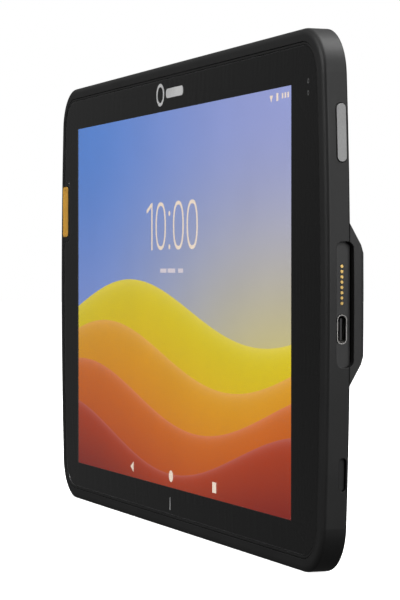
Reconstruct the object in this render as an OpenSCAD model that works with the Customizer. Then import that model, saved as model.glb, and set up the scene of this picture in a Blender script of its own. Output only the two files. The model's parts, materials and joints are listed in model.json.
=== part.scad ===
// Rugged ten inch tablet data collector, standing upright on its lower long edge.
// The screen faces -Y, +X is the screen's right and +Z is up.  Millimetres.
// Every piece is drawn face up (x right, y up, z out of the screen) and turned upright.

/* [Body] */
// Width over both rims
body_w = 267; // [250:1:290]
// Height over both rims
body_h = 167; // [160:1:180]
// Thickness over the raised areas of the back
body_t = 12.8; // [12.4:0.2:16]
// Radius of the outer corners
corner_r = 16; // [16:0.2:20]
// Radius of the bowed short sides
side_r = 928.5; // [600:0.5:1500]
// Depth of the line where rim and rear housing meet
split_d = 7.5; // [7.4:0.1:7.6]

/* [Rim] */
// Width of the rim seen from the front
rim_w = 4.1; // [3.8:0.1:4.4]
// Width of the rim's rounded edge
rim_bevel = 2.2; // [1.4:0.1:2.6]
// Depth of the rim's rounded edge
rim_round = 1.3; // [1:0.1:2.4]
// Depth of the thick part of the rim
rim_d = 4; // [3.8:0.1:4.2]
// Thickness of the rim's skirt
skirt_w = 2.2; // [1.8:0.1:2.3]

/* [Display] */
// Width of the lit area
screen_w = 217; // [200:1:220]
// Height of the lit area
screen_h = 135.6; // [125:0.1:136]
// Distance of the lit area's centre to the right of the body's centre
screen_x = -2.8; // [-4:0.1:0]
// Height of the lit area's centre above the body's centre
screen_y = -0.9; // [-1.6:0.1:0]
// Inset of the cover glass from the outer wall
glass_inset = 5.2; // [5.1:0.1:5.6]
// Depth of the glass below the rim
glass_d = 0.15; // [0.1:0.05:0.3]
// Thickness of the cover glass
glass_t = 1; // [0.8:0.1:1.1]

/* [Rear housing] */
// Inset of the flat back from the outer wall
slope_w = 14.8; // [13:0.1:15]
// Thickness of the housing wall
wall = 1.6; // [1.4:0.1:1.8]
// Width of the battery door
door_w = 140; // [136:1:144]
// Height of the battery door
door_h = 90; // [88:1:90]
// Height of the battery door's centre above the body's centre
door_y = -13; // [-13.5:0.5:-12]
// Thickness of the battery door
door_t = 2; // [1.8:0.1:2.2]
// Spacing of the strap inserts along the width
insert_w = 184; // [180:1:188]
// Spacing of the strap inserts along the height
insert_h = 92; // [88:1:94]

/* [Buttons] */
// Length of the scan button
scan_l = 20.6; // [16:0.2:24]
// Width of the scan button
scan_w = 6.8; // [5:0.1:7.2]
// Height of the scan button above the body's centre
scan_y = 33.7; // [22:0.1:38]
// Length of the side key
key_l = 17.6; // [14:0.2:20]
// Height of the side key above the body's centre
key_y = 50.6; // [45:0.2:54]
// Distance that every button travels
travel = 0.5; // [0.3:0.1:0.6]

/* [Ports] */
// Length of the dock recess
dock_l = 38; // [34:1:40]
// Depth of the dock recess from the outer wall
dock_u = 2.6; // [2.4:0.1:2.8]
// Height of the dock recess's centre above the body's centre
dock_y = -1.1; // [-4:0.1:2]
// Number of dock contacts
dock_pins = 8; // [4:1:8]

/* [Hidden] */

$fn = 48;
half_w = body_w / 2;
half_h = body_h / 2;
front_z = body_t / 2;
eps = 0.01;
gap = 0.2;                          // seam between two shells
rear_d = split_d + gap;             // where the rear housing starts
inner_d = body_t - wall;            // inner face of the back wall
arc_x = half_w - side_r;            // centre of the bowed side's arc
corner_y = half_h - corner_r;
side_a = asin(corner_y / (side_r - corner_r));
reach_x = sqrt(pow(side_r - corner_r, 2) - pow(corner_y, 2));
corner_x = arc_x + reach_x;
flat_u = slope_w + 0.9;             // inner end of the swept edge of the rear housing
strip_u = rim_w + gap;              // front bezel strip's outer edge
ledge_w = 1.6;                      // glass ledge of the front bezel
mask_t = 0.1;
mask_d = glass_d + glass_t;
seal_t = 0.2;
ledge_d = mask_d + mask_t + seal_t;
ledge_end = ledge_d + 0.9;
strip_d = 0.1;
panel_d = ledge_d + 0.1;
panel_t = 1.2;
panel_w = screen_w + 8;
panel_h = screen_h + 8;
light_d = panel_d + panel_t + 0.05;
light_t = 1.2;
frame_d = 4.35;                     // magnesium frame plate
frame_t = 0.8;
frame_back = frame_d + frame_t;
board_d = 5.9;
board_t = 1;
board_back = board_d + board_t;
key_d = 5.4;                        // depth of the centre of every edge key
key_w = 3;
key_gap = 0.25;
scan_x = 7 - half_w;                // scan button, set into the rim and the bezel
scan_t = 1.4;
scan_r = 1.6;
scan_dish_r = 16;
scan_dish_d = 0.25;
stem_x = scan_x + 0.8;
stem_w = 2.4;
stem_l = 4.4;
stem_end = 3.3;                     // depth of the foot of the scan button's stem
pocket_gap = 0.25;
pocket_d = 1.95;
island_w = 11.9;                    // bezel round the scan button, from the outer edge
island_l = scan_l + 4;
dock_d0 = 3.2;
dock_d1 = 9;
dock_d = (dock_d0 + dock_d1) / 2;
usb_l = 8.94;
usb_h = 3.26;
usb_wall = 0.3;
usb_len = 7.3;
usb_y = dock_y - 7.5;
side_board_d = dock_d + usb_h / 2 + 0.05;
flex_d = side_board_d + 0.9;
pins_y = dock_y + 6;
pin_pitch = 1.6;
boss_l = 49;                        // raised area round the dock, at the split line
boss_full = 31;                     // and at full depth
edge_boss_l = 214;                  // raised runs along the long edges
edge_boss_full = 196;
axis_d = body_t - door_t / 2;       // battery door's hinge axis
door_top = door_y + door_h / 2;
axis_y = door_top - door_t / 2;
pin_r = 0.5;
pin_l = 5;
scoop_r = 14;
scoop_t = 1.6;
post_r = 2.8;
window_d = 11.6;                    // depth of the camera and flash windows' inner faces
screw_r = 0.98;
head_r = 2;
head_h = 1.3;
head_sink = 1.8;                    // depth of the screw heads' counterbores
screws = [
    for (sx = [-1, 1]) [sx * 106, 62],
    for (sx = [-1, 1]) [sx * 50, 62],
    for (sx = [-1, 1]) [sx * 98, -63],
    for (sx = [-1, 1]) [sx * 50, -64.5]
];
board_holes = [[-96, 40], [-24, 62], [36, 40], [94, 63]];
insert_r = 2.2;
insert_bore = 1.25;
insert_l = 4;
inserts = [for (sx = [-1, 1], sy = [-1, 1]) [sx * insert_w / 2, sy * insert_h / 2]];
camera_at = [-104, 50];
flash_at = [-104, 40];
engine_at = [-74, 61];
motor_at = [-93, -63.5];
motor_d = 8;
motor_l = 9;
shaft_r = 0.4;
slot_y = -52.4;                     // sound slot in each short side
slot_l = 10.2;
slot_w = 2.4;
slot_d = 5.9;
mic_x = [-6, 20];
mic_d = 6.1;
rocker_u = 3.2;                     // inset of the volume rocker's pin
rocker_pin_r = 0.6;
rocker_pin_d = 2.9;                 // depths between which the pin stands
rocker_pin_end = 7.2;
rocker_switch = 9;
tray_y = -20;
tray_w = 12.6;
tray_l = 15;
power_x = 84;
volume_x = 56;
volume_l = 26;
power_l = 12;
sensor_at = [118.5, 67.1];
sensor_step = 3.7;
mark_y = half_h - 10.5;             // printed ring and bar above the screen
mark_t = 0.03;
ring_x = screen_x - 9.4;
ring_r = 4.1;
ring_w = 1.2;
bar_x = screen_x + 5.3;
bar_w = 17.6;
bar_h = 3.4;
tick_x = screen_x + 0.8;            // tick below the screen
tick_y = screen_y - 73.5;
tick_w = 0.6;
tick_h = 4.6;
can_t = 1.8;                        // height of the board's shield cans
chip_t = 0.9;
flex_t = 0.2;
seal_d = body_t - door_t - 0.45;    // floor of the door seal's groove
battery_d = frame_back + 0.1;
battery_end = body_t - door_t - 0.4;
terminal_y = door_top - 7.2;        // battery's spring contacts
lens_r = 3.4;
window_r = 5.1;
window_t = 0.9;
led_r = 1.5;
scan_window_d = 9.3;
scan_window_l = 15.2;
scan_window_w = 2.8;
tray_t = 0.9;
shell_r = 1.6;                      // end radius of the USB port
mesh_u = 1.4;

// Points of an arc; the last one is left out where the next arc starts on it
function arc(c, r, a0, a1, n, last = true) =
    [for (k = [0 : last ? n : n - 1]) c + r * [cos(a0 + (a1 - a0) * k / n), sin(a0 + (a1 - a0) * k / n)]];

// Outline of the body seen from the front, moved inwards by u
function outline(u) = concat(
    arc([arc_x, 0], side_r - u, -side_a, side_a, 12, false),
    arc([corner_x, corner_y], corner_r - u, side_a, 90, 12),
    arc([-corner_x, corner_y], corner_r - u, 90, 180 - side_a, 12, false),
    arc([-arc_x, 0], side_r - u, 180 - side_a, 180 + side_a, 12, false),
    arc([-corner_x, -corner_y], corner_r - u, 180 + side_a, 270, 12),
    arc([corner_x, -corner_y], corner_r - u, 270, 360 - side_a, 12, false)
);

// Rectangle with rounded corners, centred
function rounded(w, h, r, n = 5) = concat(
    arc([w / 2 - r, h / 2 - r], r, 0, 90, n),
    arc([r - w / 2, h / 2 - r], r, 90, 180, n),
    arc([r - w / 2, r - h / 2], r, 180, 270, n),
    arc([w / 2 - r, r - h / 2], r, 270, 360, n)
);

// Rounded front edge of the rim as [inset, -depth]
rim_edge = [
    for (k = [0 : 8]) let (t = 90 * k / 8) [rim_bevel * (1 - sin(t)), -rim_round * (1 - cos(t))]
];

module upright() translate([0, 0, half_h]) rotate([90, 0, 0]) children();

// Solid between two depths below the front plane
module layer(d0, d1) translate([0, 0, front_z - d1]) linear_extrude(d1 - d0) children();

module body_layer(u, d0, d1) layer(d0, d1) polygon(outline(u));

module ring_layer(u0, u1, d0, d1)
    layer(d0, d1) difference() {
        polygon(outline(u0));
        polygon(outline(u1));
    }

module box_layer(x0, x1, y0, y1, d0, d1)
    translate([x0, y0, front_z - d1]) cube([x1 - x0, y1 - y0, d1 - d0]);

// The same box, centred on a point
module square_layer(at, w, h, d0, d1)
    box_layer(at[0] - w / 2, at[0] + w / 2, at[1] - h / 2, at[1] + h / 2, d0, d1);

module disc_layer(at, r, d0, d1)
    translate([at[0], at[1], front_z - d1]) cylinder(r = r, h = d1 - d0);

// Sweeps a section, drawn as [inset, height], round the body's outline
module swept() {
    for (sx = [0, 1]) mirror([sx, 0, 0]) {
        side_run() children();
        for (sy = [0, 1]) mirror([0, sy, 0]) corner_run() children();
    }
    for (sy = [0, 1]) mirror([0, sy, 0]) edge_run(-corner_x, corner_x) children();
}

// Wedge of the side's arc: its two faces pass through the arc's and the corners' centres
module side_wedge() translate([0, 0, -body_t]) linear_extrude(2 * body_t)
    polygon([[arc_x, 0], [arc_x + 2 * reach_x, -2 * corner_y], [arc_x + 2 * reach_x, 2 * corner_y]]);

module side_run() intersection() {
    translate([arc_x, 0, 0]) rotate_extrude($fn = 256) translate([side_r, 0]) mirror([1, 0]) children();
    side_wedge();
}

module corner_run() difference() {
    intersection() {
        translate([corner_x, corner_y, 0]) rotate_extrude($fn = 96)
            translate([corner_r, 0]) mirror([1, 0]) children();
        translate([corner_x, corner_y - corner_r, -body_t]) cube([2 * corner_r, 3 * corner_r, 2 * body_t]);
    }
    side_wedge();
}

module edge_run(x0, x1)
    translate([x1, half_h, 0]) rotate([90, 0, -90]) linear_extrude(x1 - x0) children();

// Places a shape on a short side: x runs up the wall, y to the front and z outwards
module on_side(side, y, d)
    mirror([side < 0 ? 1 : 0, 0, 0])
        translate([arc_x, 0, 0]) rotate([0, 0, asin(y / side_r)]) translate([side_r, 0, front_z - d])
            rotate([90, 0, 90]) children();

// The same on the upper long edge, with x running to the left
module on_top(x, d) translate([x, half_h, front_z - d]) rotate([90, 0, 180]) children();

// Bar that stands from inset u1 to inset u0 in an on_side or on_top frame
module bar(l, w, r, u0, u1)
    translate([0, 0, -u1]) linear_extrude(u1 - u0) polygon(rounded(l, w, r));

module block(l, w, u0, u1) translate([-l / 2, -w / 2, -u1]) cube([l, w, u1 - u0]);

// ---- Front ----

module rim_section()
    translate([0, front_z]) polygon(concat([[rim_w, 0]], rim_edge, [
        [0, -split_d],
        [skirt_w, -split_d],
        [skirt_w, -rim_d],
        [rim_w, -rim_d]
    ]));

module dock_cut() on_side(1, dock_y, dock_d) bar(dock_l, dock_d1 - dock_d0, 2.2, -3, dock_u);

module mic_holes() for (x = mic_x) on_top(x, mic_d) translate([0, 0, -4]) cylinder(r = 0.6, h = 7);

module rocker_axle(r, d_low) translate([0, key_d - d_low, -rocker_u]) rotate([-90, 0, 0])
    cylinder(r = r, h = d_low - rocker_pin_d);

// Pocket for the scan button's plate
module scan_pocket() layer(-3, pocket_d) translate([scan_x, scan_y])
    polygon(rounded(scan_w + 2 * pocket_gap, scan_l + 2 * pocket_gap, scan_r + pocket_gap));

// Part of the bezel that reaches round the scan button, grown by g
module island(g) translate([-half_w, scan_y])
    polygon(rounded(2 * (island_w + g), island_l + 2 * g, 2.4 + g));

// Outline of the glass, moved inwards by g
module glass_shape(g) difference() {
    polygon(outline(glass_inset + g));
    island(0.15 + g);
}

module key_cut(l)
    bar(l + 2 * key_gap, key_w + 2 * key_gap, key_w / 2 + key_gap - 0.02, -3, rim_w + 1);

// Rim with its pocket, ports and key slots
module bumper() color([0.13, 0.13, 0.135]) upright() difference() {
    swept() rim_section();
    scan_pocket();
    dock_cut();
    on_side(1, dock_y, dock_d) bar(dock_l + 2.4, dock_d1 - dock_d0, 2.2, dock_u - eps, rim_w + 1);
    on_side(1, key_y, key_d) key_cut(key_l);
    on_top(power_x, key_d) key_cut(power_l);
    on_top(volume_x, key_d) key_cut(volume_l);
    on_top(volume_x, key_d) rocker_axle(rocker_pin_r + 0.01, key_d);
    for (side = [-1, 1]) on_side(side, slot_y, slot_d)
        bar(slot_l, slot_w, slot_w / 2 - 0.02, -3, rim_w + 1);
    on_side(-1, tray_y, key_d) bar(tray_w + 0.6, 2.6, 0.6, -3, rim_w + 1);
    mic_holes();
}

module front_bezel() color([0.1, 0.1, 0.105]) upright() difference() {
    union() {
        ring_layer(strip_u, glass_inset - 0.15, strip_d, ledge_end);
        ring_layer(strip_u + 0.1, glass_inset + ledge_w, ledge_d, ledge_end);
        bezel_island(0, strip_d);
        bezel_island(ledge_w, ledge_d);
    }
    scan_pocket();
    stem_box(0.35, 0, ledge_end + 1);
}

module bezel_island(g, d) layer(d, ledge_end) intersection() {
    polygon(outline(strip_u + 0.05));
    island(g);
}

module cover_glass() color([0.05, 0.05, 0.06, 0.5]) upright()
    layer(glass_d, glass_d + glass_t) glass_shape(0);

module sensor_holes(r, d0, d1)
    for (k = [0, 1]) disc_layer(sensor_at - [0, k * sensor_step], r, d0, d1);

// Box centred on the lit area
module screen_layer(w, h, d0, d1) square_layer([screen_x, screen_y], w, h, d0, d1);

module bezel_mask() color([0.03, 0.03, 0.035]) upright() difference() {
    layer(mask_d, mask_d + mask_t) glass_shape(0.15);
    screen_layer(screen_w, screen_h, mask_d - 1, mask_d + 1);
    sensor_holes(0.8, mask_d - 1, mask_d + 1);
}

// Plain ring and bar printed above the screen, and the tick below it
module front_mark() color([0.8, 0.8, 0.8]) upright() layer(glass_d - mark_t, glass_d) {
    translate([ring_x, mark_y]) difference() {
        circle(ring_r);
        circle(ring_r - ring_w);
    }
    translate([bar_x, mark_y]) polygon(rounded(bar_w, bar_h, bar_h / 2 - 0.1));
    translate([tick_x, tick_y]) square([tick_w, tick_h], center = true);
}

module glass_seal() color([0.2, 0.2, 0.2]) upright() layer(mask_d + mask_t, ledge_d) difference() {
    glass_shape(0.25);
    glass_shape(ledge_w - 0.2);
}

module display_panel() color([0.9, 0.65, 0.15]) upright()
    screen_layer(panel_w, panel_h, panel_d, panel_d + panel_t);

module backlight() color([0.85, 0.86, 0.88]) upright()
    screen_layer(panel_w, panel_h, light_d, light_d + light_t);

module front_camera() color([0.06, 0.06, 0.09]) upright()
    disc_layer(sensor_at, 1.2, mask_d + mask_t, ledge_d + 1.6);

module light_sensor() color([0.3, 0.3, 0.33]) upright()
    disc_layer(sensor_at - [0, sensor_step], 1.1, mask_d + mask_t, ledge_d + 0.8);

// ---- Middle ----

module mid_frame() color([0.55, 0.56, 0.58]) upright() difference() {
    union() {
        body_layer(skirt_w + 0.4, frame_d, frame_back);
        for (p = screws) disc_layer(p, 2.6, frame_back - eps, frame_back + 0.8);
    }
    for (p = screws) disc_layer(p, screw_r + 0.02, frame_d - 1, frame_back + 2);
    for (p = board_holes) disc_layer(p, 0.72, frame_d - 1, frame_back + 2);
    box_layer(-12, 12, 34, 38, frame_d - 1, frame_back + 1);
    frame_notches();
}

// Room for the keys, ports and sound parts that reach into the frame's level
module frame_notches() {
    on_side(1, key_y, 5) block(key_l + 1, 6, -3, 9.5);
    on_side(1, dock_y, 5) block(dock_l + 3, 6, -3, 13.5);
    on_side(-1, tray_y, 5) block(tray_w + 3, 6, -3, 20.5);
    for (side = [-1, 1]) on_side(side, slot_y, 5) block(slot_l + 3, 6, -3, 7.5);
    on_top(power_x, 5) block(power_l + 1, 6, -3, 9.5);
    on_top(volume_x, 5) block(volume_l + 1, 6, -3, 9.5);
}

// Flat gasket in the seam between the rim and the rear housing
module housing_seal() color([0.2, 0.2, 0.2]) upright() difference() {
    ring_layer(0.8, 2, split_d, rear_d);
    dock_cut();
}

module main_board() color([0.05, 0.3, 0.16]) upright() difference() {
    union() {
        box_layer(-30, 104, 36, 68, board_d, board_back);
        box_layer(-102, -30 + eps, 36, 44, board_d, board_back);
    }
    for (p = screws) disc_layer(p, post_r + 0.4, board_d - 1, board_back + 1);
    for (p = board_holes) disc_layer(p, 1, board_d - 1, board_back + 1);
}

module shield_cans() color([0.72, 0.73, 0.75]) upright() {
    box_layer(-18, 8, 42, 60, board_back, board_back + can_t);
    box_layer(12, 32, 44, 60, board_back, board_back + can_t);
    box_layer(58, 86, 46, 60, board_back, board_back + can_t);
}

module board_chips() color([0.08, 0.08, 0.09]) upright() {
    for (x = [-86 : 10 : -46]) box_layer(x, x + 6, 37.5, 42.5, board_back, board_back + chip_t);
    for (x = [62 : 9 : 80]) box_layer(x, x + 6, 38, 43.5, board_back, board_back + chip_t);
    box_layer(10, 26, 62, 67, board_back, board_back + chip_t);
    box_layer(97, 103, 38, 44, board_back, flex_d);
}

module heat_spreader() color([0.2, 0.2, 0.22]) upright()
    box_layer(-18, 32, 43, 59, board_back + can_t + 0.05, board_back + can_t + 0.3);

module board_screws() color([0.7, 0.7, 0.72]) upright() for (p = board_holes) {
    disc_layer(p, 0.7, frame_d + 0.1, board_back);
    disc_layer(p, 1.7, board_back, board_back + 0.9);
}

module display_flex() color([0.55, 0.33, 0.1]) upright() {
    box_layer(-9, 9, 34.6, 34.8, light_d + light_t, board_back + 0.4);
    box_layer(-9, 9, 34.8, 40, board_back, board_back + flex_t);
}

module antenna_strips() color([0.6, 0.42, 0.15]) upright() {
    for (x = [-30, 84]) box_layer(x - 10, x + 10, 72.4, 72.6, 7.6, 10.6);
    for (sx = [-1, 1]) box_layer(sx * 30 - 16, sx * 30 + 16, -76.2, -76, 7.8, 10.8);
}

module nfc_coil() color([0.65, 0.35, 0.15]) upright() layer(10.85, 11.1) difference() {
    translate([-97, -5]) polygon(rounded(34, 46, 5));
    translate([-97, -5]) polygon(rounded(26, 38, 3));
}

module motor_place()
    translate([motor_at[0], motor_at[1], front_z - motor_d]) rotate([0, 90, 0]) children();

module motor_can() color([0.68, 0.68, 0.7]) upright() motor_place() difference() {
    cylinder(r = 2.2, h = motor_l);
    translate([0, 0, motor_l - 2.5]) cylinder(r = shaft_r + 0.05, h = 4);
}

// Half disc on a shaft; its heavy side hangs down at rest
module motor_weight() color([0.6, 0.58, 0.5]) upright() motor_place() {
    translate([0, 0, motor_l - 2.3]) cylinder(r = shaft_r, h = 7);
    translate([0, 0, motor_l + 1.2]) difference() {
        cylinder(r = 2, h = 3.4);
        translate([-3, 0.7, -1]) cube([6, 4, 6]);
    }
}

// ---- Back ----

module rear_section()
    translate([0, front_z]) polygon([
        [0, -rear_d],
        [slope_w, -body_t],
        [flat_u, -body_t],
        [flat_u, -inner_d],
        [slope_w + 0.3, -inner_d],
        [4.6, -rear_d]
    ]);

module boss_section()
    translate([0, front_z]) polygon([
        [0, -rear_d],
        [0, 1.4 - body_t],
        [1.4, -body_t],
        [flat_u, -body_t],
        [flat_u, -rear_d]
    ]);

// Wedge that ends a raised area with a slope at both ends
module boss_taper(l, l_full, u)
    translate([0, 0, -u]) linear_extrude(u + 1) polygon([
        [-l / 2, 0],
        [l / 2, 0],
        [l_full / 2, rear_d - body_t - eps],
        [-l_full / 2, rear_d - body_t - eps]
    ]);

module dock_boss() intersection() {
    side_run() boss_section();
    on_side(1, dock_y, rear_d) boss_taper(boss_l, boss_full, flat_u + 1);
}

module edge_boss() intersection() {
    edge_run(-half_w, half_w) boss_section();
    on_top(0, rear_d) boss_taper(edge_boss_l, edge_boss_full, flat_u + 1);
}

module rear_housing() color([0.12, 0.12, 0.125]) upright() difference() {
    union() {
        difference() {
            union() {
                swept() rear_section();
                body_layer(slope_w + 0.45, inner_d, body_t);
                dock_boss();
                for (sy = [0, 1]) mirror([0, sy, 0]) edge_boss();
            }
            on_side(1, dock_y, inner_d) translate([0, 3, 0])
                block(boss_full - 2, 6, 3.2, flat_u + 1);
            for (sy = [0, 1]) mirror([0, sy, 0]) on_top(0, inner_d) translate([0, 3, 0])
                block(edge_boss_full - 3, 6, 2, flat_u + 1);
        }
        // Frame round the battery, bosses for inserts and posts for screws
        box_layer(-door_w / 2 - 3, door_w / 2 + 3, door_y - door_h / 2 - 3, door_top + 3,
            9.2, body_t - eps);
        for (p = inserts) disc_layer(p, insert_r + 1, body_t - insert_l - 0.6, body_t - eps);
        for (p = screws) disc_layer(p, post_r, frame_back + 0.85, body_t - eps);
    }
    layer(0, body_t + 1) translate([0, door_y]) polygon(rounded(door_w - 8, door_h - 8, 3));
    layer(body_t - door_t - 0.05, body_t + 1) translate([0, door_y])
        polygon(rounded(door_w + 0.4, door_h + 0.4, 0.3));
    translate([-door_w / 2 - pin_l / 2 - 0.1, axis_y, front_z - axis_d]) rotate([0, 90, 0])
        cylinder(r = pin_r + 0.05, h = door_w + pin_l + 0.2);
    door_seal_groove();
    // Scoop for a fingertip under the door's free edge
    translate([0, door_y - door_h / 2 + 1, scoop_t - front_z - scoop_r]) rotate([90, 0, 0])
        cylinder(r = scoop_r, h = 8);
    for (p = inserts) disc_layer(p, insert_r, body_t - insert_l, body_t + 1);
    for (p = screws) {
        disc_layer(p, screw_r + 0.3, 0, body_t + 1);
        disc_layer(p, head_r + 0.3, body_t - head_sink, body_t + 1);
    }
    disc_layer(camera_at, 4.4, 0, body_t + 1);
    disc_layer(camera_at, window_r + 0.1, window_d - eps, body_t + 1);
    disc_layer(flash_at, led_r + 0.2, 0, body_t + 1);
    disc_layer(flash_at, led_r + 1.1, window_d - eps, body_t + 1);
    on_top(engine_at[0], scan_window_d) bar(12.8, 1.9, 0.6, -1, 9);
    on_top(engine_at[0], scan_window_d) bar(scan_window_l + 0.2, scan_window_w + 0.2, 1, -1, 1.31);
    dock_cut();
    rear_clearance();
}

module door_seal_groove() layer(seal_d, body_t - door_t) difference() {
    translate([0, door_y]) polygon(rounded(door_w - 2, door_h - 2, 2));
    translate([0, door_y]) polygon(rounded(door_w - 5, door_h - 5, 1));
}

// Room for the port plate and side board, which reach down past the split line
module rear_clearance() on_side(1, dock_y, 8) block(dock_l + 3, 2.4, dock_u - eps, flat_u + 1);

module battery_door() color([0.14, 0.14, 0.145]) upright() difference() {
    union() {
        layer(body_t - door_t, body_t) difference() {
            translate([0, door_y]) polygon(rounded(door_w, door_h, 0.4));
            translate([-door_w, axis_y]) square([2 * door_w, door_t]);
        }
        translate([-door_w / 2, axis_y, front_z - axis_d]) rotate([0, 90, 0])
            cylinder(r = door_t / 2, h = door_w);
    }
    hinge_pins();
    // Shallow grip ribs pressed into the outer face
    for (k = [-3 : 3]) translate([k * 5 - 0.6, door_y - door_h / 2 + 7, -front_z - 1])
        cube([1.2, 9, 1.4]);
}

module hinge_pins() for (sx = [-1, 1])
    translate([sx * door_w / 2 - pin_l / 2, axis_y, front_z - axis_d]) rotate([0, 90, 0])
        cylinder(r = pin_r, h = pin_l);

module door_hinge_pins() color([0.75, 0.75, 0.77]) upright() hinge_pins();

module door_seal() color([0.3, 0.3, 0.32]) upright() layer(seal_d, body_t - door_t - 0.02) difference() {
    translate([0, door_y]) polygon(rounded(door_w - 2.2, door_h - 2.2, 1.9));
    translate([0, door_y]) polygon(rounded(door_w - 4.8, door_h - 4.8, 1.1));
}

module battery_pack() color([0.16, 0.17, 0.2]) upright()
    layer(battery_d, battery_end) translate([0, door_y]) polygon(rounded(door_w - 14, door_h - 15, 2));

module battery_contacts() color([0.85, 0.65, 0.25]) upright() {
    for (k = [-2 : 2]) box_layer(k * 4 - 0.8, k * 4 + 0.8, terminal_y, terminal_y + 0.6, 6, 8);
    box_layer(-11, 11, terminal_y + 0.6, terminal_y + 3, 5.6, 8.6);
}

module strap_inserts() color([0.8, 0.62, 0.25]) upright() for (p = inserts) difference() {
    disc_layer(p, insert_r - 0.01, body_t - insert_l, body_t - 0.05);
    disc_layer(p, insert_bore, 0, body_t + 1);
}

module housing_screws() color([0.3, 0.3, 0.32]) upright() for (p = screws) difference() {
    union() {
        disc_layer(p, screw_r, frame_d + 0.2, body_t - head_sink + eps);
        disc_layer(p, head_r, body_t - head_sink, body_t - head_sink + head_h);
    }
    translate([p[0], p[1], -front_z - 1]) cylinder(r = 0.8, h = 2.4, $fn = 6);
}

module rear_camera() color([0.05, 0.05, 0.07]) upright() {
    square_layer(camera_at, 9, 9, 6, 9.6);
    disc_layer(camera_at, lens_r, 9.6 - eps, window_d - 0.2);
}

module camera_window() color([0.1, 0.1, 0.14, 0.6]) upright()
    disc_layer(camera_at, window_r, window_d, window_d + window_t);

module flash_led() color([0.95, 0.9, 0.6]) upright() {
    disc_layer(flash_at, led_r + 1, window_d, window_d + window_t);
    disc_layer(flash_at, led_r, window_d - 1.2, window_d + eps);
}

module scan_engine() color([0.1, 0.1, 0.12]) upright() {
    square_layer(engine_at, 20, 16, 6, 11);
    square_layer(engine_at + [0, 10 - eps], 12, 4, 8.2, 10.6);
}

module scan_window() color([0.4, 0.03, 0.05, 0.6]) upright() on_top(engine_at[0], scan_window_d)
    bar(scan_window_l, scan_window_w, 0.95, 0.3, 1.3);

// ---- Keys ----

// Dished plate on a stem that pushes its switch
module scan_button() color([0.95, 0.6, 0.08]) upright() {
    difference() {
        layer(0, scan_t) translate([scan_x, scan_y]) polygon(rounded(scan_w, scan_l, scan_r));
        translate([scan_x, scan_y, front_z + scan_dish_r - scan_dish_d]) rotate([90, 0, 0])
            cylinder(r = scan_dish_r, h = scan_l - 2.4, center = true, $fn = 192);
    }
    stem_box(0, scan_t - eps, stem_end);
}

module stem_box(g, d0, d1)
    square_layer([stem_x, scan_y], stem_w + 2 * g, stem_l + 2 * g, d0, d1);

module key_body(l, proud) {
    bar(l, key_w, key_w / 2 - 0.02, -proud, 2.6);
    block(4, 1.6, 2.6 - eps, 4.6);
}

module side_key() color([0.55, 0.55, 0.56]) upright() on_side(1, key_y, key_d) key_body(key_l, 0.3);

module power_key() color([0.2, 0.2, 0.21]) upright() on_top(power_x, key_d) key_body(power_l, -0.05);

module volume_rocker() color([0.2, 0.2, 0.21]) upright() on_top(volume_x, key_d) difference() {
    union() {
        bar(volume_l, key_w, key_w / 2 - 0.02, 0.1, 2.2);
        block(5, key_w, 2.2 - eps, 4.2);
        for (k = [-1, 1]) translate([k * rocker_switch, 0, 0]) block(1.6, 1.4, 2.2 - eps, 4.6);
    }
    translate([0, -3, -rocker_u]) rotate([-90, 0, 0]) cylinder(r = rocker_pin_r + 0.05, h = 6);
}

module rocker_pin() color([0.75, 0.75, 0.77]) upright() on_top(volume_x, key_d)
    rocker_axle(rocker_pin_r, rocker_pin_end);

module switch() block(4.4, 2.6, 4.6 + travel + 0.05, 8.4);

module key_switches() color([0.7, 0.7, 0.68]) upright() {
    stem_box(0.3, stem_end + travel + 0.05, frame_d - 0.02);
    on_side(1, key_y, key_d) switch();
    on_top(power_x, key_d) switch();
    for (k = [-1, 1]) on_top(volume_x + k * rocker_switch, key_d) switch();
}

// ---- Ports ----

module port_plate() color([0.09, 0.09, 0.095]) upright() difference() {
    on_side(1, dock_y, dock_d) bar(dock_l + 2, dock_d1 - dock_d0 - 0.4, 2, dock_u + 0.02, dock_u + 1.2);
    on_side(1, usb_y, dock_d) bar(usb_l + 0.1, usb_h + 0.1, shell_r, 0, 9);
    at_pins() translate([0, 0, -9]) cylinder(r = 0.55, h = 9);
}

module at_pins() for (k = [0 : dock_pins - 1])
    on_side(1, pins_y + (k - (dock_pins - 1) / 2) * pin_pitch, dock_d) children();

module usb_shell() color([0.72, 0.7, 0.66]) upright() on_side(1, usb_y, dock_d) difference() {
    bar(usb_l, usb_h, shell_r - 0.05, dock_u - 0.3, dock_u + usb_len);
    bar(usb_l - 2 * usb_wall, usb_h - 2 * usb_wall, shell_r - 0.05 - usb_wall,
        dock_u - 1, dock_u + usb_len - 0.8);
}

module usb_tongue() color([0.1, 0.1, 0.1]) upright() on_side(1, usb_y, dock_d)
    block(6.6, 0.7, dock_u + 0.6, dock_u + usb_len - 0.8);

module dock_contacts() color([0.85, 0.68, 0.3]) upright()
    at_pins() translate([0, 0, -dock_u - 4]) cylinder(r = 0.5, h = 4.2);

module side_board() color([0.05, 0.3, 0.16]) upright()
    on_side(1, dock_y, side_board_d + 0.45) block(34, 0.9, dock_u + 1.6, 24);

module side_flex() color([0.55, 0.33, 0.1]) upright() {
    box_layer(110, 116, 8, 44, flex_d, flex_d + flex_t);
    box_layer(97, 110 + eps, 38, 44, flex_d, flex_d + flex_t);
}

module card_tray() color([0.16, 0.16, 0.165]) upright() on_side(-1, tray_y, key_d) {
    bar(tray_w, 2.1, 0.5, 0.05, 1.3);
    difference() {
        block(tray_w - 1.2, tray_t, 1.3 - eps, tray_l);
        block(tray_w - 4, 3, 4, tray_l - 1.4);
    }
}

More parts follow.
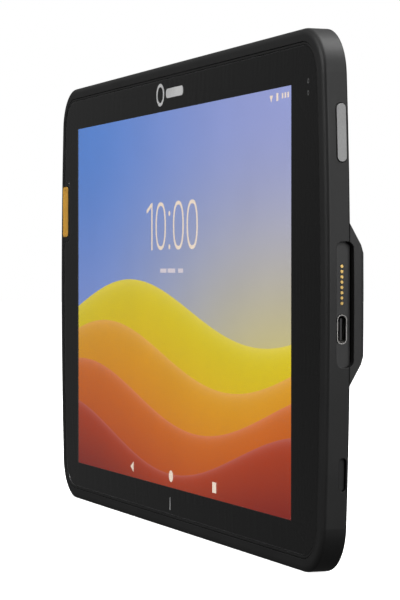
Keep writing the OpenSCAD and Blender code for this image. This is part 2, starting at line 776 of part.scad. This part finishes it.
module card_reader() color([0.72, 0.72, 0.74]) upright() on_side(-1, tray_y, key_d) difference() {
    block(tray_w + 1.6, 2.4, 5.6, tray_l + 2);
    block(tray_w - 0.8, tray_t + 0.3, 5, tray_l + 0.6);
}

module speakers() color([0.1, 0.1, 0.11]) upright() for (side = [-1, 1]) {
    on_side(side, slot_y, 7.3) block(22, 3.8, 10, 24);
    on_side(side, slot_y, 6.2) block(slot_l, 1.8, 3.2, 10 + eps);
}

module speaker_mesh() color([0.03, 0.03, 0.03]) upright() for (side = [-1, 1])
    on_side(side, slot_y, slot_d) bar(slot_l - 0.1, slot_w - 0.1, slot_w / 2 - 0.07, mesh_u, mesh_u + 0.4);

module microphones() color([0.75, 0.7, 0.5]) upright()
    for (x = mic_x) on_top(x, mic_d) block(3, 1.6, 4.4, 6.4);

bumper();
front_bezel();
cover_glass();
bezel_mask();
front_mark();
glass_seal();
display_panel();
backlight();
mid_frame();
housing_seal();
rear_housing();
battery_door();
door_hinge_pins();
door_seal();
battery_pack();
battery_contacts();
scan_button();
side_key();
power_key();
volume_rocker();
rocker_pin();
key_switches();
port_plate();
usb_shell();
usb_tongue();
dock_contacts();
side_board();
side_flex();
speakers();
speaker_mesh();
microphones();
front_camera();
light_sensor();
rear_camera();
camera_window();
flash_led();
scan_engine();
scan_window();
main_board();
shield_cans();
board_chips();
heat_spreader();
display_flex();
antenna_strips();
nfc_coil();
motor_can();
motor_weight();
card_tray();
card_reader();
strap_inserts();
housing_screws();
board_screws();
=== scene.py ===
"""Looks of the rugged tablet data collector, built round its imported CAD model.

The tablet stands on its lower long edge, screen towards -Y.  Lengths are in metres; MM turns
millimetres into them.
"""
import json
import math

import bmesh
import bpy
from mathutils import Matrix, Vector


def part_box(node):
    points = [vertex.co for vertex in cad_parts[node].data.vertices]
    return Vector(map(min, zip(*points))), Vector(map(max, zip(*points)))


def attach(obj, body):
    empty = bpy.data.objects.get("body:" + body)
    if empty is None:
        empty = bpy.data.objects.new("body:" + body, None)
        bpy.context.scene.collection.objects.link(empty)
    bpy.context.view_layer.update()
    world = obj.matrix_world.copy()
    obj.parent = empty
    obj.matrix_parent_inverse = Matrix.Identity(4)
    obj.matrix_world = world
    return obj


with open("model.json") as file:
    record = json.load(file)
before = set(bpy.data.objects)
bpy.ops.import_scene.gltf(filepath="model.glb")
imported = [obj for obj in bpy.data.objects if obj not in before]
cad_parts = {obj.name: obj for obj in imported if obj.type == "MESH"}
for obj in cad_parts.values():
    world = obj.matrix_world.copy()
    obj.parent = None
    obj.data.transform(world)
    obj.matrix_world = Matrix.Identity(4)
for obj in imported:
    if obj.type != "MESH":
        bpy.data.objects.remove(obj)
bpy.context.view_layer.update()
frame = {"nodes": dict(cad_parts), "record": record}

MM = 0.001
BODY = "housing"

SCREEN_W = 217 * MM
SCREEN_H = 135.6 * MM
PANEL_LOW, PANEL_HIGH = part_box("display_panel")
SCREEN_X = (PANEL_LOW.x + PANEL_HIGH.x) / 2
SCREEN_Z = (PANEL_LOW.z + PANEL_HIGH.z) / 2
PANEL_FRONT = PANEL_LOW.y
LAYER = 0.004 * MM  # step between two layers of the picture on the screen


# ---- Camera, light and floor ----

CAMERA_AT = Vector((0.70704, -0.26834, 0.0919))
CAMERA_AZIMUTH = math.radians(68.9)
CAMERA_PITCH = math.radians(0.73)
CAMERA_LENS = 126.4
SENSOR = 36.0
FLOOR_GLOW = 0.95


def add_camera():
    data = bpy.data.cameras.new("camera")
    data.sensor_fit = "VERTICAL"
    data.sensor_height = SENSOR
    data.lens = CAMERA_LENS
    camera = bpy.data.objects.new("camera", data)
    bpy.context.scene.collection.objects.link(camera)
    level = math.cos(CAMERA_PITCH)
    look = Vector((
        -math.sin(CAMERA_AZIMUTH) * level,
        math.cos(CAMERA_AZIMUTH) * level,
        -math.sin(CAMERA_PITCH),
    ))
    camera.location = CAMERA_AT
    camera.rotation_euler = look.to_track_quat("-Z", "Y").to_euler()
    bpy.context.scene.camera = camera


def add_softbox(name, at, target, width, height, power):
    data = bpy.data.lights.new(name, "AREA")
    data.shape = "RECTANGLE"
    data.size = width
    data.size_y = height
    data.energy = power
    light = bpy.data.objects.new(name, data)
    bpy.context.scene.collection.objects.link(light)
    light.location = at
    light.rotation_euler = (Vector(target) - Vector(at)).to_track_quat("-Z", "Y").to_euler()


def add_surroundings():
    """White to the camera; to everything else a dome that is dim below and brightest overhead."""
    world = bpy.data.worlds.new("studio")
    bpy.context.scene.world = world
    world.use_nodes = True
    nt = world.node_tree
    nt.nodes.clear()
    out = nt.nodes.new("ShaderNodeOutputWorld")
    seen = add(nt, "ShaderNodeBackground", {"Color": (1, 1, 1, 1), "Strength": 1.0})
    height = add(nt, "ShaderNodeSeparateXYZ", {0: add(nt, "ShaderNodeTexCoord").outputs["Generated"]})
    level = ramp(nt, remap(nt, height.outputs["Z"], -1.0, 1.0, 0.0, 1.0), [
        (0.0, grey(0.06)),
        (0.35, grey(0.1)),
        (0.5, grey(0.1)),
        (0.6, grey(0.15)),
        (1.0, grey(0.5)),
    ])
    dome = add(nt, "ShaderNodeBackground", {"Color": level, "Strength": 1.0})
    path = add(nt, "ShaderNodeLightPath")
    mix = add(nt, "ShaderNodeMixShader", {0: path.outputs["Is Camera Ray"]})
    nt.links.new(dome.outputs[0], mix.inputs[1])
    nt.links.new(seen.outputs[0], mix.inputs[2])
    nt.links.new(mix.outputs[0], out.inputs[0])


def add_floor():
    """Pale floor that the camera sees and that lights nothing, so the underside stays dark."""
    bm = bmesh.new()
    bmesh.ops.create_circle(bm, cap_ends=True, segments=96, radius=6.0)
    floor = mesh_object("studio_floor", bm)
    m, nt, bsdf = new_material("pale_floor")
    soft = add(nt, "ShaderNodeTexNoise", {"Vector": object_space(nt), "Scale": 3.0, "Detail": 2.0})
    tone = ramp(nt, soft.outputs["Fac"], [(0.3, grey(0.93)), (0.7, grey(0.96))])
    nt.links.new(tone, bsdf.inputs["Base Color"])
    nt.links.new(tone, bsdf.inputs["Emission Color"])
    bsdf.inputs["Emission Strength"].default_value = FLOOR_GLOW
    bsdf.inputs["Roughness"].default_value = 0.9
    bsdf.inputs["Specular IOR Level"].default_value = 0.0
    floor.data.materials.append(m)
    floor.visible_diffuse = False
    floor.visible_glossy = False
    floor.visible_transmission = False


# ---- Node helpers ----

def add(nt, kind, inputs=None, **props):
    node = nt.nodes.new(kind)
    for key, value in props.items():
        setattr(node, key, value)
    for key, value in (inputs or {}).items():
        if isinstance(value, bpy.types.NodeSocket):
            nt.links.new(value, node.inputs[key])
        else:
            node.inputs[key].default_value = value
    return node


def new_material(name):
    m = bpy.data.materials.new(name)
    m.use_nodes = True
    return m, m.node_tree, m.node_tree.nodes["Principled BSDF"]


def object_space(nt):
    return add(nt, "ShaderNodeTexCoord").outputs["Object"]


def ramp(nt, factor, stops):
    node = add(nt, "ShaderNodeValToRGB", {"Fac": factor})
    elements = node.color_ramp.elements
    while len(elements) < len(stops):
        elements.new(0.5)
    for element, (place, colour) in zip(elements, stops):
        element.position = place
        element.color = colour
    return node.outputs["Color"]


def remap(nt, value, low, high, to_low, to_high):
    node = add(nt, "ShaderNodeMapRange", {
        "Value": value,
        "From Min": low,
        "From Max": high,
        "To Min": to_low,
        "To Max": to_high,
    })
    return node.outputs["Result"]


MIX_A, MIX_B, MIX_RESULT = 6, 7, 2  # colour sockets of a Mix node


def mix_colour(nt, factor, a, b, blend="MIX"):
    node = add(nt, "ShaderNodeMix", data_type="RGBA", blend_type=blend)
    for socket, value in ((0, factor), (MIX_A, a), (MIX_B, b)):
        if isinstance(value, bpy.types.NodeSocket):
            nt.links.new(value, node.inputs[socket])
        else:
            node.inputs[socket].default_value = value
    return node.outputs[MIX_RESULT]


def grey(value, warm=0.0):
    return (value * (1 + warm), value, value * (1 - warm), 1)


def scaled(colour, by):
    return tuple(min(1.0, c * by) for c in colour[:3]) + (1,)


# ---- Materials ----

RUBBED_TONE = 1.9  # how much lighter than its face an edge wears
GLASS_IOR = 1.5


def surface(name, colour, rough, grain=0.35, relief=0.02, spread=0.18, specular=0.5, metal=0.0,
            edge=0.25, worn=0.35, streak=None):
    """Moulded, cast or turned stuff: cloudy tone, fine grain, softened and slightly worn edges.

    grain is the size of the surface's grain, relief its height and edge the radius of its edges,
    all in millimetres.
    """
    m, nt, bsdf = new_material(name)
    space = object_space(nt)
    if streak:
        space = add(nt, "ShaderNodeMapping", {"Vector": space, "Scale": streak}).outputs["Vector"]
    cloud = add(nt, "ShaderNodeTexNoise", {"Vector": space, "Scale": 55.0, "Detail": 4.0}).outputs["Fac"]
    fine = add(nt, "ShaderNodeTexNoise", {
        "Vector": space,
        "Scale": 1 / (grain * MM),
        "Detail": 3.0,
        "Roughness": 0.6,
    }).outputs["Fac"]
    body = ramp(nt, cloud, [(0.3, scaled(colour, 1 - spread)), (0.7, scaled(colour, 1 + spread))])
    speck = ramp(nt, fine, [(0.35, grey(0.82)), (0.65, grey(1.0))])
    grained = mix_colour(nt, 1.0, body, speck, "MULTIPLY")
    rounding = add(nt, "ShaderNodeBevel", {"Radius": edge * MM}, samples=4)
    true_normal = add(nt, "ShaderNodeNewGeometry").outputs["Normal"]
    normals = {0: rounding.outputs[0], 1: true_normal}
    bend = add(nt, "ShaderNodeVectorMath", normals, operation="DOT_PRODUCT")
    rubbed = remap(nt, bend.outputs["Value"], 1.0, 0.8, 0.0, worn)
    nt.links.new(mix_colour(nt, rubbed, grained, scaled(colour, RUBBED_TONE)), bsdf.inputs["Base Color"])
    roughness = remap(nt, fine, 0.3, 0.7, rough * 0.88, min(1.0, rough * 1.12))
    nt.links.new(roughness, bsdf.inputs["Roughness"])
    bump = add(nt, "ShaderNodeBump", {
        "Height": fine,
        "Normal": rounding.outputs[0],
        "Distance": relief * MM,
        "Strength": 0.6,
    })
    nt.links.new(bump.outputs[0], bsdf.inputs["Normal"])
    bsdf.inputs["Specular IOR Level"].default_value = specular
    bsdf.inputs["Metallic"].default_value = metal
    return m


def clear(name, tint, rough=0.01):
    """Clear glass or plastic with faint smears."""
    m, nt, bsdf = new_material(name)
    smear = add(nt, "ShaderNodeTexNoise", {"Vector": object_space(nt), "Scale": 40.0, "Detail": 3.0})
    colour = ramp(nt, smear.outputs["Fac"], [(0.3, scaled(tint, 0.985)), (0.7, tint)])
    nt.links.new(colour, bsdf.inputs["Base Color"])
    roughness = remap(nt, smear.outputs["Fac"], 0.3, 0.7, rough * 0.7, rough * 1.3)
    nt.links.new(roughness, bsdf.inputs["Roughness"])
    bsdf.inputs["IOR"].default_value = GLASS_IOR
    bsdf.inputs["Transmission Weight"].default_value = 1.0
    return m


def light_picture(name):
    """Lit picture on the screen: its colours are painted on the mesh, under a slightly uneven light."""
    m, nt, bsdf = new_material(name)
    paint = add(nt, "ShaderNodeAttribute", attribute_name="paint").outputs["Color"]
    glow = add(nt, "ShaderNodeTexNoise", {"Vector": object_space(nt), "Scale": 26.0, "Detail": 2.0})
    uneven = ramp(nt, glow.outputs["Fac"], [(0.25, grey(0.93)), (0.75, grey(1.0))])
    nt.links.new(mix_colour(nt, 1.0, paint, uneven, "MULTIPLY"), bsdf.inputs["Emission Color"])
    bsdf.inputs["Emission Strength"].default_value = PICTURE_GLOW
    bsdf.inputs["Base Color"].default_value = grey(0.004)
    bsdf.inputs["Roughness"].default_value = 0.6
    bsdf.inputs["Specular IOR Level"].default_value = 0.0
    return m


MATERIALS = {
    "rim": surface("rim_plastic", grey(0.0125), 0.5, specular=0.3, edge=0.3),
    "bezel": surface("bezel_plastic", grey(0.011), 0.42, specular=0.3),
    "glass": clear("cover_glass", (0.99, 0.99, 0.99, 1)),
    "mask_ink": surface("mask_ink", grey(0.016, 0.05), 0.35, relief=0.002, specular=0.3),
    "mark_ink": surface("mark_ink", grey(0.8), 0.4, relief=0.004, edge=0.02, worn=0.0),
    "seal": surface("foam_seal", grey(0.03), 0.9, grain=0.5, relief=0.08),
    "display": surface("display_glass", grey(0.01), 0.2, relief=0.001),
    "backlight": surface("diffuser_sheet", grey(0.78), 0.6, grain=0.2),
    "magnesium": surface("cast_magnesium", grey(0.4), 0.55, grain=0.9, relief=0.05, metal=1.0),
    "housing": surface("housing_plastic", grey(0.02), 0.55, grain=0.6, relief=0.045,
                       specular=0.35, edge=0.35),
    "door": surface("door_plastic", grey(0.023), 0.55, grain=0.6, relief=0.045, specular=0.35, edge=0.3),
    "steel": surface("ground_steel", grey(0.62), 0.3, grain=0.3, metal=1.0, streak=(1, 8, 8)),
    "battery": surface("battery_case", (0.035, 0.038, 0.05, 1), 0.45, grain=0.4),
    # Gold plate: a gold made darker than its own tone, as painted shade of the side recess its contacts
    # sit in.
    "gold": surface("gold_plate", (0.5, 0.34, 0.12, 1), 0.34, relief=0.004, metal=1.0, edge=0.1),
    "scan_orange": surface("scan_orange", (0.92, 0.47, 0.055, 1), 0.42, grain=0.4, relief=0.012,
                           spread=0.06, worn=0.12, edge=0.3),
    "key_grey": surface("key_grey", grey(0.27), 0.4, grain=0.4, spread=0.08, edge=0.25),
    "key_black": surface("key_black", grey(0.03), 0.45, grain=0.4, edge=0.25),
    "switch": surface("switch_case", grey(0.5), 0.35, metal=1.0, edge=0.1),
    "black_plastic": surface("black_plastic", grey(0.012), 0.5, edge=0.15),
    # Port shell: a metal made darker than its own tone, as painted shade of the side recess the port
    # sits in.
    "port_shell": surface("port_shell", grey(0.26, 0.03), 0.34, metal=1.0, edge=0.06, worn=0.2),
    "board": surface("circuit_board", (0.012, 0.09, 0.045, 1), 0.4, grain=1.2, relief=0.02, spread=0.3),
    "flex": surface("flex_print", (0.42, 0.19, 0.035, 1), 0.35, grain=0.8, spread=0.25),
    "mesh": surface("speaker_mesh", grey(0.012), 0.7, grain=0.35, relief=0.2, edge=0.05),
    "camera": surface("camera_barrel", grey(0.012), 0.35, streak=(1, 6, 1)),
    "sensor": surface("sensor_face", (0.02, 0.02, 0.035, 1), 0.15, relief=0.002),
    "window": clear("camera_window", (0.45, 0.45, 0.52, 1), 0.03),
    "led": surface("led_phosphor", (0.85, 0.74, 0.25, 1), 0.3, grain=0.25),
    "engine": surface("engine_case", grey(0.02), 0.45),
    "scan_glass": clear("scan_glass", (0.5, 0.03, 0.05, 1), 0.03),
    "shield": surface("shield_can", grey(0.6), 0.3, grain=0.5, metal=1.0, streak=(6, 1, 1)),
    "chip": surface("chip_resin", grey(0.02), 0.55, grain=0.2),
    "graphite": surface("graphite_sheet", grey(0.05), 0.45, grain=0.3, metal=0.6),
    "coil": surface("coil_foil", (0.6, 0.3, 0.14, 1), 0.35, metal=1.0),
    "weight": surface("sintered_weight", (0.42, 0.4, 0.34, 1), 0.4, metal=1.0),
    "brass": surface("turned_brass", (0.72, 0.52, 0.2, 1), 0.3, metal=1.0, streak=(1, 9, 1)),
    "screw": surface("zinc_screw", grey(0.2), 0.35, metal=1.0, edge=0.12),
}


# ---- Mesh helpers ----

def mesh_object(name, bm):
    data = bpy.data.meshes.new(name)
    bm.to_mesh(data)
    bm.free()
    thing = bpy.data.objects.new(name, data)
    bpy.context.scene.collection.objects.link(thing)
    return thing


def piece(name, bm, material, body):
    thing = mesh_object(name, bm)
    thing.data.materials.append(material)
    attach(thing, body)


# ---- Picture on the screen ----

GLARE = 0.025  # what the cover glass adds to the picture behind it
PICTURE_GLOW = 1.3
VIVID = 1.12  # richness of the picture's colours, 1 for plain


def linear(code):
    """Linear colour of a six-digit code, made a little richer, less the cover glass's glare."""
    parts = [int(code[k:k + 2], 16) / 255 for k in (0, 2, 4)]
    light = [c / 12.92 if c <= 0.04045 else ((c + 0.055) / 1.055) ** 2.4 for c in parts]
    level = 0.21 * light[0] + 0.72 * light[1] + 0.07 * light[2]
    return Vector([max(0.0, level + VIVID * (c - level) - GLARE / PICTURE_GLOW) for c in light])


# Colours of the picture and of the signs over it, rounded to plain values
TONES = {name: linear(code) for name, code in {
    "blue": "6088d0",
    "lavender": "98a0d0",
    "lemon": "d8c830",
    "amber": "d8a030",
    "orange": "c87020",
    "rust": "a84820",
    "wine": "702818",
    "pearl": "d8d0d8",
    "cream": "f0e0d0",
}.items()}

# A plain picture made for this part: a soft sky over even waves, all from formulas, in millimetres
SKY = (("blue", "lavender"), ("lavender", "lemon"))  # left side and right side, each from the top down
WAVES = ("lemon", "amber", "orange", "rust", "wine")  # each wave fades from one tone to the next
WAVE_TOP = -4.0  # middle of the first wave's crest, above the middle of the screen
WAVE_STEP = 16.0
WAVE_HEIGHT = 11.0
WAVE_TURNS = 0.85  # turns of the sine across the screen
WAVE_LAG = 0.11  # turns that each wave is ahead of the one above it
WAVE_FADE = 1.6
GLINT = 0.1  # strength of the lit edge, and its depth as a share of the wave
GLINT_DEPTH = 0.03
SKY_GRID = (40, 40)
WAVE_GRID = (96, 40)


def ease(t):
    return t * t * (3 - 2 * t)


def painted_grid(bm, paint, place, tone, columns, rows):
    """Adds a grid of quads whose point and colour come from place(s, t) and tone(s, t)."""
    grid = []
    for i in range(columns + 1):
        line = []
        for j in range(rows + 1):
            s, t = i / columns, j / rows
            vert = bm.verts.new(place(s, t))
            vert[paint] = (*tone(s, t), 1)
            line.append(vert)
        grid.append(line)
    for i in range(columns):
        for j in range(rows):
            corners = [grid[i][j], grid[i + 1][j], grid[i + 1][j + 1], grid[i][j + 1]]
            bm.faces.new(corners)


def on_screen(point, layer):
    """Place of a point in millimetres from the middle of the screen, on a layer of the picture."""
    return Vector((
        SCREEN_X + point[0] * MM,
        PANEL_FRONT - (layer + 1) * LAYER,
        SCREEN_Z + point[1] * MM,
    ))


def sky_place(s, t):
    return on_screen(((s - 0.5) * SCREEN_W / MM, (0.5 - t) * SCREEN_H / MM), 0)


def sky_tone(s, t):
    left, right = [TONES[top].lerp(TONES[bottom], ease(t)) for top, bottom in SKY]
    return left.lerp(right, ease(s))


def draw_wave(bm, paint, number):
    """Wave from its crest to below the screen's lower edge, with a thin lit edge along the crest."""
    width = SCREEN_W / MM
    bottom = -SCREEN_H / MM / 2 - 2 * WAVE_HEIGHT

    def place(s, t):
        turn = 2 * math.pi * (WAVE_TURNS * s + WAVE_LAG * number)
        crest = WAVE_TOP - WAVE_STEP * number + WAVE_HEIGHT * math.sin(turn)
        return on_screen(((s - 0.5) * width, crest + (bottom - crest) * t), number + 1)

    def tone(s, t):
        fade = min(1.0, WAVE_FADE * t)
        glint = GLINT * math.exp(-t / GLINT_DEPTH)
        return TONES[WAVES[number]].lerp(TONES[WAVES[number + 1]], fade) + TONES["pearl"] * glint

    painted_grid(bm, paint, place, tone, *WAVE_GRID)


def trim_to_screen(bm):
    half_w, half_h = SCREEN_W / 2, SCREEN_H / 2
    for side, normal in (
        ((SCREEN_X + half_w, 0, SCREEN_Z), (1, 0, 0)),
        ((SCREEN_X - half_w, 0, SCREEN_Z), (-1, 0, 0)),
        ((0, 0, SCREEN_Z + half_h), (0, 0, 1)),
        ((0, 0, SCREEN_Z - half_h), (0, 0, -1)),
    ):
        everything = bm.verts[:] + bm.edges[:] + bm.faces[:]
        bmesh.ops.bisect_plane(bm, geom=everything, plane_co=side, plane_no=normal, clear_outer=True)


def face_front(bm):
    for face in bm.faces:
        face.normal_update()
        if face.normal.y > 0:
            face.normal_flip()


def draw_picture(material):
    bm = bmesh.new()
    paint = bm.verts.layers.float_color.new("paint")
    painted_grid(bm, paint, sky_place, sky_tone, *SKY_GRID)
    for number in range(len(WAVES) - 1):
        draw_wave(bm, paint, number)
    trim_to_screen(bm)
    face_front(bm)
    piece("screen_picture", bm, material, BODY)


# Clock and signs over the picture: millimetres from the middle of the screen
OVERLAY_LAYER = 40
DIGIT_H = 17.4
STROKE = 1.35
CLOCK_Z = 26.4
ONE_X = -19.9
NOUGHT_W = 9.6
NOUGHTS_X = (-10.5, 7.8, 21.6)
COLON_X = -1.4
COLON_R = 0.95
BARS_Z = 10.2
BARS = ((-11.0, -4.5), (-3.2, 4.6), (7.6, 12.6))
BAR_W = 1.5
STATUS_BARS_X = (101.2, 103.4, 105.6)
ROUND_SIDES = 24


def loop_points(at, width, height, steps=48):
    """Tall rounded loop of a nought, in millimetres."""
    points = []
    for k in range(steps):
        a = 2 * math.pi * k / steps
        c, s = math.cos(a), math.sin(a)
        points.append((
            at[0] + width / 2 * math.copysign(abs(c) ** 0.85, c),
            at[1] + height / 2 * math.copysign(abs(s) ** 0.85, s),
        ))
    return points


def draw_stroke(bm, paint, points, width=STROKE, closed=False, tone="cream"):
    """Flat line of an even width through the points."""
    count = len(points)
    sides = []
    for k, point in enumerate(points):
        before = Vector(points[k - 1 if closed else max(k - 1, 0)])
        after = Vector(points[(k + 1) % count if closed else min(k + 1, count - 1)])
        along = (after - before).normalized()
        across = Vector((-along.y, along.x)) * width / 2
        ends = [Vector(point) + side * across for side in (-1, 1)]
        pair = [bm.verts.new(on_screen(end, OVERLAY_LAYER)) for end in ends]
        for vert in pair:
            vert[paint] = (*TONES[tone], 1)
        sides.append(pair)
    for k in range(count if closed else count - 1):
        a, b = sides[k], sides[(k + 1) % count]
        bm.faces.new([a[0], b[0], b[1], a[1]])


def draw_disc(bm, paint, at, radius, sides=ROUND_SIDES, turn=0.0):
    """Flat disc, or with few sides a triangle or a square."""
    verts = []
    for k in range(sides):
        a = 2 * math.pi * k / sides + turn
        corner = (at[0] + radius * math.cos(a), at[1] + radius * math.sin(a))
        vert = bm.verts.new(on_screen(corner, OVERLAY_LAYER))
        vert[paint] = (*TONES["cream"], 1)
        verts.append(vert)
    bm.faces.new(verts)


def draw_clock(bm, paint):
    """Digits of ten o'clock, and a plain row of bars below them."""
    low, high = CLOCK_Z - DIGIT_H / 2, CLOCK_Z + DIGIT_H / 2
    draw_stroke(bm, paint, [(-25.6, high - 3.2), (-20.0, high - 0.6)])
    draw_stroke(bm, paint, [(ONE_X, high), (ONE_X, low)])
    for x in NOUGHTS_X:
        draw_stroke(bm, paint, loop_points((x, CLOCK_Z), NOUGHT_W, DIGIT_H - STROKE), closed=True)
    for z in (CLOCK_Z - 7.6, CLOCK_Z + 4.4):
        draw_disc(bm, paint, (COLON_X, z), COLON_R)
    for x0, x1 in BARS:
        draw_stroke(bm, paint, [(x0, BARS_Z), (x1, BARS_Z)], BAR_W, tone="pearl")


def draw_signs(bm, paint):
    """Status signs at the top right and three plain shapes for the keys at the bottom."""
    draw_disc(bm, paint, (92.1, 65.0), 1.5, 3, -math.pi / 2)
    draw_stroke(bm, paint, [(97.0, 63.7), (97.0, 66.2)], BAR_W)
    for x in STATUS_BARS_X:
        draw_stroke(bm, paint, [(x, 64.2), (x, 65.9)], 1.1)
    draw_disc(bm, paint, (-41.6, -63.8), 2.3, 3, math.pi)
    draw_disc(bm, paint, (0.2, -63.7), 2.1)
    draw_disc(bm, paint, (42.6, -63.8), 2.6, 4, math.pi / 4)


def draw_overlay(material):
    bm = bmesh.new()
    paint = bm.verts.layers.float_color.new("paint")
    draw_clock(bm, paint)
    draw_signs(bm, paint)
    face_front(bm)
    piece("screen_signs", bm, material, BODY)


# ---- Finishes of the CAD pieces ----

def finish_nodes():
    for part in frame["record"]["subparts"]:
        node = frame["nodes"][part["node"]]
        node.data.materials.clear()
        node.data.materials.append(MATERIALS[part["material_slot"]])


INK_GAP = 0.04 * MM


def ink_glass_edge():
    """Black ink round the glass's edge, which keeps the screen's light from leaking out of it."""
    glass = frame["nodes"]["cover_glass"]
    bm = bmesh.new()
    bm.from_mesh(glass.data)
    bm.transform(glass.matrix_world)
    for face in bm.faces:
        face.normal_update()
    faces = [face for face in bm.faces if abs(face.normal.y) > 0.5]
    bmesh.ops.delete(bm, geom=faces, context="FACES")
    for vert in bm.verts:
        vert.normal_update()
    for vert in bm.verts:
        out = Vector((vert.normal.x, 0, vert.normal.z)).normalized()
        vert.co += out * INK_GAP
    piece("glass_edge_ink", bm, MATERIALS["mask_ink"], BODY)


def ring_faces(bm, centre, inner, outer, sides=32):
    """Flat ring that faces the front."""
    rims = []
    for radius in (inner, outer):
        rims.append([
            bm.verts.new(centre + radius * Vector((math.cos(a), 0, math.sin(a))))
            for a in (2 * math.pi * k / sides for k in range(sides))
        ])
    for k in range(sides):
        j = (k + 1) % sides
        bm.faces.new([rims[0][k], rims[1][k], rims[1][j], rims[0][j]])


def ring_sensors():
    """Bright stop rings in front of the camera and the light sensor beside the screen."""
    bm = bmesh.new()
    for node in ("front_camera", "light_sensor"):
        low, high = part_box(node)
        centre = Vector(((low.x + high.x) / 2, low.y - 0.01 * MM, (low.z + high.z) / 2))
        ring_faces(bm, centre, 0.35 * MM, 0.8 * MM)
    face_front(bm)
    piece("sensor_rings", bm, MATERIALS["switch"], BODY)


add_camera()
add_surroundings()
add_floor()
add_softbox("overhead", (0.2, -0.1, 1.5), (0, 0, 0.1), 1.2, 0.8, 9)
add_softbox("front", (-0.25, -1.25, 0.7), (0, 0, 0.1), 0.7, 0.7, 9)
add_softbox("side", (1.5, 0.2, 0.45), (0.13, 0, 0.08), 0.8, 0.9, 13)
add_softbox("rear", (0.15, 0.9, 1.25), (0, 0, 0.1), 0.8, 0.6, 22)
finish_nodes()
ink_glass_edge()
ring_sensors()
picture_light = light_picture("screen_light")
draw_picture(picture_light)
draw_overlay(picture_light)

bpy.context.scene.view_settings.view_transform = "Standard"
